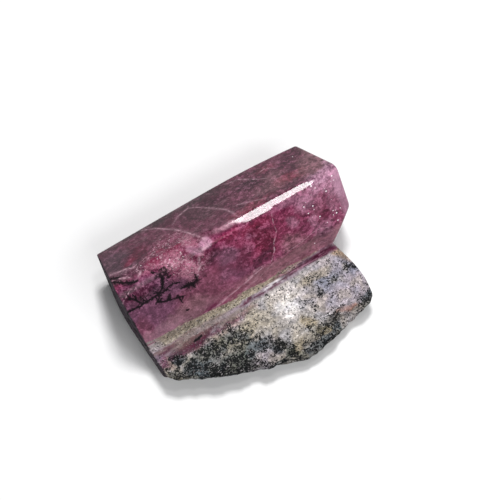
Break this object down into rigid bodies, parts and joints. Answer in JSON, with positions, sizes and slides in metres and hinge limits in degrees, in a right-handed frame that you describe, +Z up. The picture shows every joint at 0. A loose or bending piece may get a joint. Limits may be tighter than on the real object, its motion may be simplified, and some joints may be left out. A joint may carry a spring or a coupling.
{
  "type": "rhodonite freeform",
  "caption": "Polished pink rhodonite bar with sawn base, ground ridge and end facets, and a low shelf of speckled matrix with a broken outer side.",
  "frame": {"origin": "centre of the bounding box on the resting plane, z = 0", "axes": "+X along the bar from the sawn base to the faceted end, +Y toward the bar's long outer edge and away from the shelf, +Z up from the flat ground back that it lies on"},
  "size_m": [0.1002, 0.079, 0.0446],
  "materials": {
    "rhodonite": "hand-polished pink rhodonite with grey and beige matrix, broken on one side"
  },
  "bodies": {
    "root": {"rhodonite_freeform": "rhodonite"}
  },
  "joints": []
}
